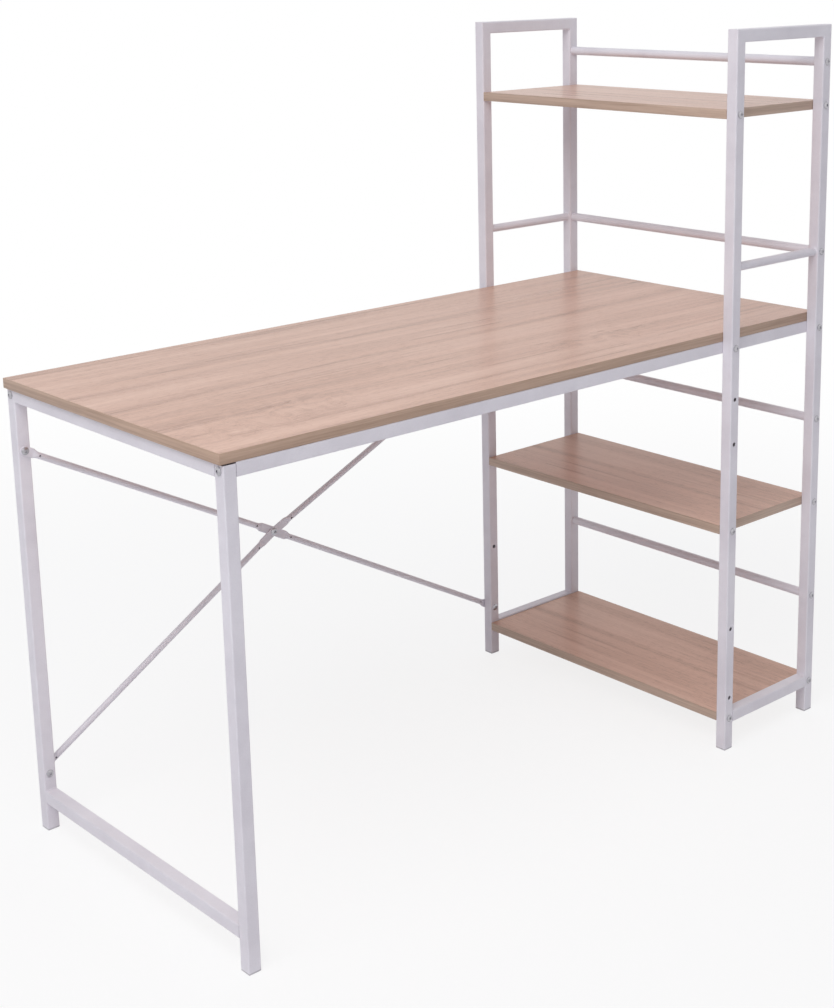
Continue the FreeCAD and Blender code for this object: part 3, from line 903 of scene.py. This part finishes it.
@dataclass
class WeldSeams:
    """Painted weld beads of one frame: straight ones in the corners of square tube, rings round the rods."""

    name: str
    rails: tuple[str, ...]
    axis: RailAxis
    corners: tuple[Vector, ...] = ()
    rods: tuple[str, ...] = ()
    bead: float = 1.5 * MM
    ripple: float = 0.18 * MM
    ripple_pitch: float = 1.6 * MM
    end_margin: float = 2.5 * MM
    ring_root_share: float = 1 / 3
    ring_shoulder_share: float = 0.7
    ring_rise_share: float = 1.2

    def build(self, finish: Material) -> None:
        """Lay every bead of the frame.

        Args:
            finish: Coating of the frame.
        """
        low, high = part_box(self.rails[0])
        straight = self.straight(high.z - low.z - 2 * self.end_margin)
        seams = bmesh.new()
        for place in (*self.rail_ends(), *self.corners):
            merge(seams, straight, turned_to(self.axis.across(), place))
        straight.free()
        self.add_rings(seams)
        finish_piece(self.name, seams, finish, Slot.WHITE_STEEL)

    def rail_ends(self) -> list[Vector]:
        """Middles of the lower and upper edges at both ends of each rail.

        Returns:
            The places.
        """
        places = []
        for rail in self.rails:
            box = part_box(rail)
            for end, level in itertools.product(box, box):
                place = middle(box)
                place[self.axis.value], place.z = end[self.axis.value], level.z
                places.append(place)
        return places

    def add_rings(self, seams: Mesh) -> None:
        """Lay a ring at both ends of each rod.

        Args:
            seams: Mesh that grows.
        """
        for rod in self.rods:
            low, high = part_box(rod)
            radius = (high.z - low.z) / 2
            root = radius - self.ring_root_share * self.bead
            shoulder = self.ring_shoulder_share * self.bead
            rise = self.ring_rise_share * self.bead
            outer = [(radius + self.bead, 0), (radius + shoulder, shoulder), (radius, rise)]
            ring = lathe([(root, 0), *outer, (root, rise)], closed=True)
            for end, direction in ((low, self.axis.along()), (high, -self.axis.along())):
                place = middle((low, high))
                place[self.axis.value] = end[self.axis.value]
                merge(seams, ring, turned_to(direction, place))
            ring.free()

    def straight(self, length: float) -> Mesh:
        """Straight rippled bead about the origin, along Z.

        Args:
            length: Length of the bead.

        Returns:
            The mesh.
        """
        count = round(length / self.ripple_pitch)
        outline = [(0.0, -length / 2 - self.bead / 2)]
        for step in range(2 * count + 1):
            swell = self.ripple if step % 2 else 0
            outline.append((self.bead + swell, -length / 2 + length * step / (2 * count)))
        outline.append((0.0, length / 2 + self.bead / 2))
        return lathe(outline)


@dataclass
class BraceStrut:
    """Strut of the cross brace: round tube pressed flat at its ends and at the crossing, with drain holes.

    A station is a distance from the crossing, negative towards the start.
    """

    node: str
    start: Vector
    crossing: Vector
    end: Vector
    diameter: float = 10 * MM
    wall: float = 1.2 * MM
    cross_flat: float = 26 * MM
    end_flat: float = 12 * MM
    squeeze: float = 10 * MM
    squeeze_steps: int = 6
    round_steps: int = 12
    tip_steps: int = 6
    tip_sweep: float = math.radians(80)
    sides: int = 32
    drain_radius: float = 1.75 * MM
    drain_setback: float = 3 * MM
    drain_depth: float = 7 * MM
    drain_margin_share: float = 1.1
    drain_rows: int = 4

    def build(self, finish: Material) -> None:
        """Sweep the tube, drill it and coat it.

        Args:
            finish: Coating of the strut.
        """
        stations = [-distance for distance in reversed(self.stations(self.start))]
        stations += [0.0, *self.stations(self.end)]
        rows = len(stations) - 1
        tube = bmesh.new()
        bmesh.ops.create_grid(tube, x_segments=self.sides, y_segments=rows, size=1)
        for spot in tube.verts:
            row = round((spot.co.y + 1) / 2 * rows)
            spot.co = self.skin(stations[row], math.pi * (spot.co.x + 1))
        bmesh.ops.remove_doubles(tube, verts=tube.verts, dist=MERGE_DISTANCE)
        bmesh.ops.holes_fill(tube, edges=open_edges(tube), sides=0)
        # Layer that marks the drain holes' floors for the coat's painted shade.
        tube.verts.layers.float.new(PAINTED_SHADE_BORE)
        for tip, sign in ((self.end, 1), (self.start, -1)):
            for distance in self.drains(tip):
                self.drill(tube, sign * distance)
        finish_piece(f"{self.node}_pressed", tube, finish, Slot.WHITE_STEEL, self.node)

    def flat_width(self) -> float:
        """Half the width of the pressed tube, whose wall keeps its length."""
        return (math.pi * (self.diameter - self.wall) / 2 + self.wall) / 2

    def tip(self, station: float) -> Vector:
        """Middle of the end flat on a station's side of the crossing."""
        return self.end if station > 0 else self.start

    def run(self, tip: Vector) -> Vector:
        """Way from the crossing to a tip, seen from the front."""
        return Vector((tip.x - self.crossing.x, 0, tip.z - self.crossing.z))

    def round_stretch(self, tip: Vector) -> tuple[float, float]:
        """Where the tube is round on its way to a tip, from the crossing."""
        return self.cross_flat + self.squeeze, self.run(tip).length - self.end_flat - self.squeeze

    def drains(self, tip: Vector) -> tuple[float, float]:
        """Places of the two drain holes on the way to a tip, from the crossing."""
        first, last = self.round_stretch(tip)
        return first + self.drain_setback, last - self.drain_setback

    def stations(self, tip: Vector) -> list[float]:
        """Distances from the crossing to every outline of one half.

        Args:
            tip: Middle of the half's end flat.

        Returns:
            Distances in rising order, the crossing itself left out.
        """
        last = self.round_stretch(tip)[1]
        steps = [self.squeeze * step / self.squeeze_steps for step in range(self.squeeze_steps + 1)]
        places = [start + step for start in (self.cross_flat, last) for step in steps]
        inner, outer = self.drains(tip)
        patch = self.drain_margin_share * self.drain_radius
        for row in range(self.drain_rows + 1):
            off_drain = patch * (2 * row / self.drain_rows - 1)
            places += [inner + off_drain, outer + off_drain]
        span = outer - inner - 2 * patch
        places += [inner + patch + span * step / self.round_steps for step in range(1, self.round_steps)]
        length, width = self.run(tip).length, self.flat_width()
        turns = [self.tip_sweep * step / self.tip_steps for step in range(self.tip_steps + 1)]
        places += [length + width * math.sin(turn) for turn in turns]
        return sorted(places)

    def skin(self, station: float, angle: float) -> Vector:
        """Point on the strut's surface.

        Args:
            station: Station of the point.
            angle: Angle round the tube, from its side.

        Returns:
            The point.
        """
        centre, across = self.axis(station)
        distance = abs(station)
        length = self.run(self.tip(station)).length
        width = math.sqrt(self.flat_width() ** 2 - max(distance - length, 0) ** 2)
        share = clamp((distance - self.cross_flat) / self.squeeze)
        share *= clamp((length - self.end_flat - distance) / self.squeeze)
        circle = Vector((math.cos(angle), math.sin(angle))) * self.diameter / 2
        out, back = self.pressed(width, angle).lerp(circle, eased(share))
        return centre + across * out + BACKWARDS * back

    def pressed(self, width: float, angle: float) -> Vector:
        """Point on the outline of the flat tube, which has straight flanks and round sides.

        Args:
            width: Half the width of the flat.
            angle: Angle round the tube, from its side.

        Returns:
            Distances from the middle, across the strut and backwards.
        """
        side, rise = math.cos(angle), math.sin(angle)
        flank = max(width - self.wall, 0)
        diagonal = math.sqrt(0.5)
        if abs(side) < diagonal:
            return Vector((flank * side / diagonal, math.copysign(self.wall, rise)))
        bend = 2 * math.asin(rise)
        bulge = min(self.wall, width) * math.cos(bend)
        return Vector((math.copysign(flank + bulge, side), self.wall * math.sin(bend)))

    def axis(self, station: float) -> tuple[Vector, Vector]:
        """Middle of the strut at a station.

        Args:
            station: Station of the middle.

        Returns:
            The middle, and the direction across the strut in the plane of the brace.
        """
        ways = self.run(self.end).normalized(), -self.run(self.start).normalized()
        if station == 0:
            return self.crossing.copy(), BACKWARDS.cross(ways[0] + ways[1]).normalized()
        tip = self.tip(station)
        along = ways[0] if station > 0 else ways[1]
        slanting = self.run(tip).length - self.end_flat - self.cross_flat
        share = clamp((abs(station) - self.cross_flat) / slanting)
        sway = BACKWARDS * (tip.y - self.crossing.y) * share
        return self.crossing + along * station + sway, BACKWARDS.cross(along)

    def drill(self, tube: Mesh, station: float) -> None:
        """Drill a drain hole into the front of the tube.

        Args:
            tube: Mesh of the strut.
            station: Station of the hole.
        """
        centre, across = self.axis(station)
        along = across.cross(BACKWARDS)
        patch = []
        for face in tube.faces:
            away = face.calc_center_median() - centre
            off_hole = max(abs(away.dot(along)), abs(away.dot(across)))
            if away.y < 0 and off_hole < self.drain_radius:
                patch.append(face)
        bmesh.ops.delete(tube, geom=patch, context="FACES")
        for spot in rim_spots(tube):
            away = spot.co - centre
            flat = Vector((away.dot(along), away.dot(across))).normalized() * self.drain_radius
            depth = math.sqrt((self.diameter / 2) ** 2 - flat.y**2)
            spot.co = centre + along * flat.x + across * flat.y - BACKWARDS * depth
        # The recess floor is marked 1, where the coat paints shade near black.
        bore = tube.verts.layers.float[PAINTED_SHADE_BORE]
        for spot in sink(tube, BACKWARDS * self.drain_depth):
            spot[bore] = 1.0


@dataclass
class BookcaseDesk:
    """The whole desk: boards, frames, brace, fasteners and caps."""

    coat: Material = field(default_factory=PowderCoat().material)
    zinc: Material = field(default_factory=ZincPlate().material)
    plastic: Material = field(default_factory=CapPlastic().material)
    desk_edge: Material = field(default_factory=OakEdge("desk").material)
    # The shelves' band is a lighter copy of the desk's band colour: painted light for the brighter light on
    # the shelf edges.
    painted_light_shelf_edge: Material = field(
        default_factory=OakEdge(
            "shelf", deep=(0.2, screen(168, 143, 126)), light=(0.75, screen(205, 180, 163))
        ).material
    )
    figure_insets: tuple[tuple[float, float], ...] = ((0.10, 0.09), (0.19, 0.115), (0.80, 0.12))

    def build(self) -> None:
        """Build and dress every piece."""
        self.build_boards()
        self.dress_frames()
        self.build_welds()
        self.build_brace()
        self.build_fasteners()

    def build_boards(self) -> None:
        """Desktop with its figured corner, and the three shelves."""
        low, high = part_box("desktop_edge_band")
        spots = tuple(Vector((low.x + x, low.y + y, high.z)) for x, y in self.figure_insets)
        Board("desktop", OakFace(Grain.ALONG_X, middle((low, high)), spots)).build(self.desk_edge)
        for name in ("top_shelf", "middle_shelf", "bottom_shelf"):
            centre = middle(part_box(f"{name}_edge_band"))
            Board(name, OakFace(Grain.ALONG_Y, centre)).build(self.painted_light_shelf_edge)

    def dress_frames(self) -> None:
        """Coat every tube and rod of the frames, and dress the caps and the hidden hardware."""
        steel = ["leg_front", "leg_rear", "leg_top_rail", "leg_bottom_rail"]
        steel += [f"back_rod_{place}" for place in ("top", "upper", "middle", "lower")]
        caps = ["leg_front_foot", "leg_rear_foot"]
        for side in ("front", "rear"):
            pieces = ("post_inner", "post_outer", "top_bar", "bottom_rail", "side_rod", "desk_rail")
            steel += [f"{side}_{piece}" for piece in pieces]
            caps += [f"{side}_{piece}" for piece in ("inner_foot", "outer_foot", "rail_cap")]
        dress(self.coat, *steel)
        dress(self.plastic, *caps)
        dress(self.zinc, "shelf_inserts", "rod_end_plugs", "rail_nuts", "rail_end_plugs")

    def build_welds(self) -> None:
        """Weld beads of the leg frame and of the two bookcase frames."""
        WeldSeams("leg_frame_welds", ("leg_top_rail", "leg_bottom_rail"), RailAxis.Y).build(self.coat)
        for side in ("front", "rear"):
            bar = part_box(f"{side}_top_bar")
            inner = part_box(f"{side}_post_inner")[1].x
            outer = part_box(f"{side}_post_outer")[0].x
            corners = tuple(Vector((x, middle(bar).y, bar[0].z)) for x in (inner, outer))
            rails, rods = (f"{side}_bottom_rail",), (f"{side}_side_rod",)
            WeldSeams(f"{side}_frame_welds", rails, RailAxis.X, corners, rods).build(self.coat)

    def build_brace(self) -> None:
        """Both struts, from the bolts that hold them and the faces that they lie on."""
        leg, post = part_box("leg_rear"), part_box("rear_post_inner")
        half_flat = BraceStrut.wall
        heights = [middle(bolt).z for bolt in islands("brace_bolts")]
        upper, lower = max(heights), min(heights)
        cross = middle(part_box("brace_cross_bolt"))
        left, right = middle(leg).x, middle(post).x
        falling = BraceStrut(
            "brace_strut_falling",
            start=Vector((left, leg[0].y - half_flat, upper)),
            crossing=Vector((cross.x, leg[1].y + half_flat, cross.z)),
            end=Vector((right, post[1].y + half_flat, lower)),
        )
        rising = BraceStrut(
            "brace_strut_rising",
            start=Vector((left, leg[1].y + half_flat, lower)),
            crossing=Vector((cross.x, leg[1].y - half_flat, cross.z)),
            end=Vector((right, post[0].y - half_flat, upper)),
        )
        for strut in (falling, rising):
            strut.build(self.coat)

    def build_fasteners(self) -> None:
        """Bolts, nuts and screws that show."""
        for node in ("shelf_bolts", "rod_bolts", "rail_bolts"):
            Bolt(node, Heading.INWARDS).build(self.zinc)
        Bolt("leg_bolts", Heading.X).build(self.zinc)
        for node in ("brace_bolts", "brace_cross_bolt"):
            Bolt(node, Heading.Y).build(self.zinc)
        screws = Bolt(
            "desktop_screws",
            Heading.Z,
            head_height=2.5 * MM,
            shank_diameter=4 * MM,
            drive=Drive.CROSS,
            drive_across=3.6 * MM,
            drive_depth=1.2 * MM,
            thread_pitch=1.6 * MM,
        )
        screws.build(self.zinc)
        HexNut("brace_nuts").build(self.zinc)


# Studio


@dataclass(frozen=True)
class AreaLamp:
    """Soft lamp that looks at the desk."""

    name: str
    place: Vector
    power: float
    mirrored: bool = True
    width: float = 2.2

    def build(self, target: Vector) -> None:
        """Hang the lamp.

        Args:
            target: Point that it faces.
        """
        light = bpy.data.lights.new(self.name, "AREA")
        light.shape = "DISK"
        light.size = self.width
        light.energy = self.power
        lamp = bpy.data.objects.new(self.name, light)
        lamp.location = self.place
        lamp.visible_glossy = self.mirrored
        lamp.rotation_mode = "QUATERNION"
        lamp.rotation_quaternion = (target - self.place).to_track_quat("-Z", "Y")
        bpy.context.scene.collection.objects.link(lamp)


@dataclass(frozen=True)
class PhotoCamera:
    """Camera at the photograph's viewing angle."""

    place: Vector = Vector((-1.71, -1.99, 1.312))
    azimuth: float = math.radians(43.1)
    pitch: float = math.radians(13.1)
    roll: float = math.radians(-0.7)
    focal_pixels: float = 1700
    shift: tuple[float, float] = (-0.09, -0.15)
    frame_height: int = 1008
    sensor: float = 36.0

    def build(self) -> None:
        """Make it the scene's camera."""
        data = bpy.data.cameras.new("photo_camera")
        data.sensor_width = self.sensor
        data.lens = self.focal_pixels * self.sensor / self.frame_height
        data.shift_x, data.shift_y = self.shift
        camera = bpy.data.objects.new("photo_camera", data)
        flat = math.cos(self.pitch)
        ahead = Vector((math.sin(self.azimuth) * flat, math.cos(self.azimuth) * flat, -math.sin(self.pitch)))
        camera.location = self.place
        camera.rotation_mode = "QUATERNION"
        camera.rotation_quaternion = ahead.to_track_quat("-Z", "Y") @ Quaternion((0, 0, 1), self.roll)
        bpy.context.scene.collection.objects.link(camera)
        bpy.context.scene.camera = camera


@dataclass
class Studio:
    """Pale floor that fades into white surroundings, and soft lamps."""

    floor_width: float = 30.0
    floor_colour: Colour = screen(248, 247, 249)
    floor_roughness: float = 0.9
    floor_glow: float = 0.82
    fade_start: float = 0.9
    fade_end: float = 3.0
    ambient_colour: Colour = screen(248, 250, 255)
    ambient_strength: float = 0.42
    lamps: tuple[AreaLamp, ...] = (
        AreaLamp("key_lamp", Vector((-1.7, -0.9, 3.0)), 43.5),
        AreaLamp("side_lamp", Vector((-3.6, -0.6, 2.0)), 3.5),
        AreaLamp("front_lamp", Vector((-2.6, -2.4, 3.2)), 12.5),
        AreaLamp("back_lamp", Vector((2.6, 2.4, 1.0)), 24.0, mirrored=False),
    )

    def build(self) -> None:
        """Set up floor, world, lamps and camera."""
        self.build_floor()
        self.build_world()
        for lamp in self.lamps:
            lamp.build(middle(CAD_BOX))
        PhotoCamera().build()
        bpy.context.scene.view_settings.view_transform = "Standard"

    def build_floor(self) -> None:
        """Plain floor that stays pale and keeps the desk's shadow."""
        sheet = bmesh.new()
        bmesh.ops.create_grid(sheet, x_segments=1, y_segments=1, size=self.floor_width / 2)
        mesh = bpy.data.meshes.new("studio_floor")
        sheet.to_mesh(mesh)
        sheet.free()
        shader = Shader(bpy.data.materials.new("studio_floor"))
        shader.set_surface(Base_Color=self.floor_colour, Roughness=self.floor_roughness)
        distance = shader.length(shader.place())
        share = shader.spread(distance, self.fade_start, self.fade_end, self.floor_glow, 1)
        glow = shader.add("ShaderNodeEmission", {"Color": WHITE})
        seen = shader.calculate("MULTIPLY", shader.seen(), share)
        shader.mix(seen, shader.surface.outputs["BSDF"], glow.outputs["Emission"])
        mesh.materials.append(shader.owner)
        floor = bpy.data.objects.new("studio_floor", mesh)
        bpy.context.scene.collection.objects.link(floor)

    def build_world(self) -> None:
        """White behind the desk, and an even soft light on it."""
        world = bpy.data.worlds.new("studio_world")
        bpy.context.scene.world = world
        shader = Shader(world)
        soft = shader.tree.nodes["Background"]
        shader.feed(soft.inputs["Color"], self.ambient_colour)
        shader.feed(soft.inputs["Strength"], self.ambient_strength)
        white = shader.add("ShaderNodeBackground", {"Color": WHITE})
        shader.mix(shader.seen(), soft.outputs["Background"], white.outputs["Background"])


def main() -> None:
    """Build the desk and its studio."""
    logging.basicConfig(level=logging.INFO, format="%(name)s: %(message)s")
    BookcaseDesk().build()
    Studio().build()


if __name__ == "__main__":
    main()
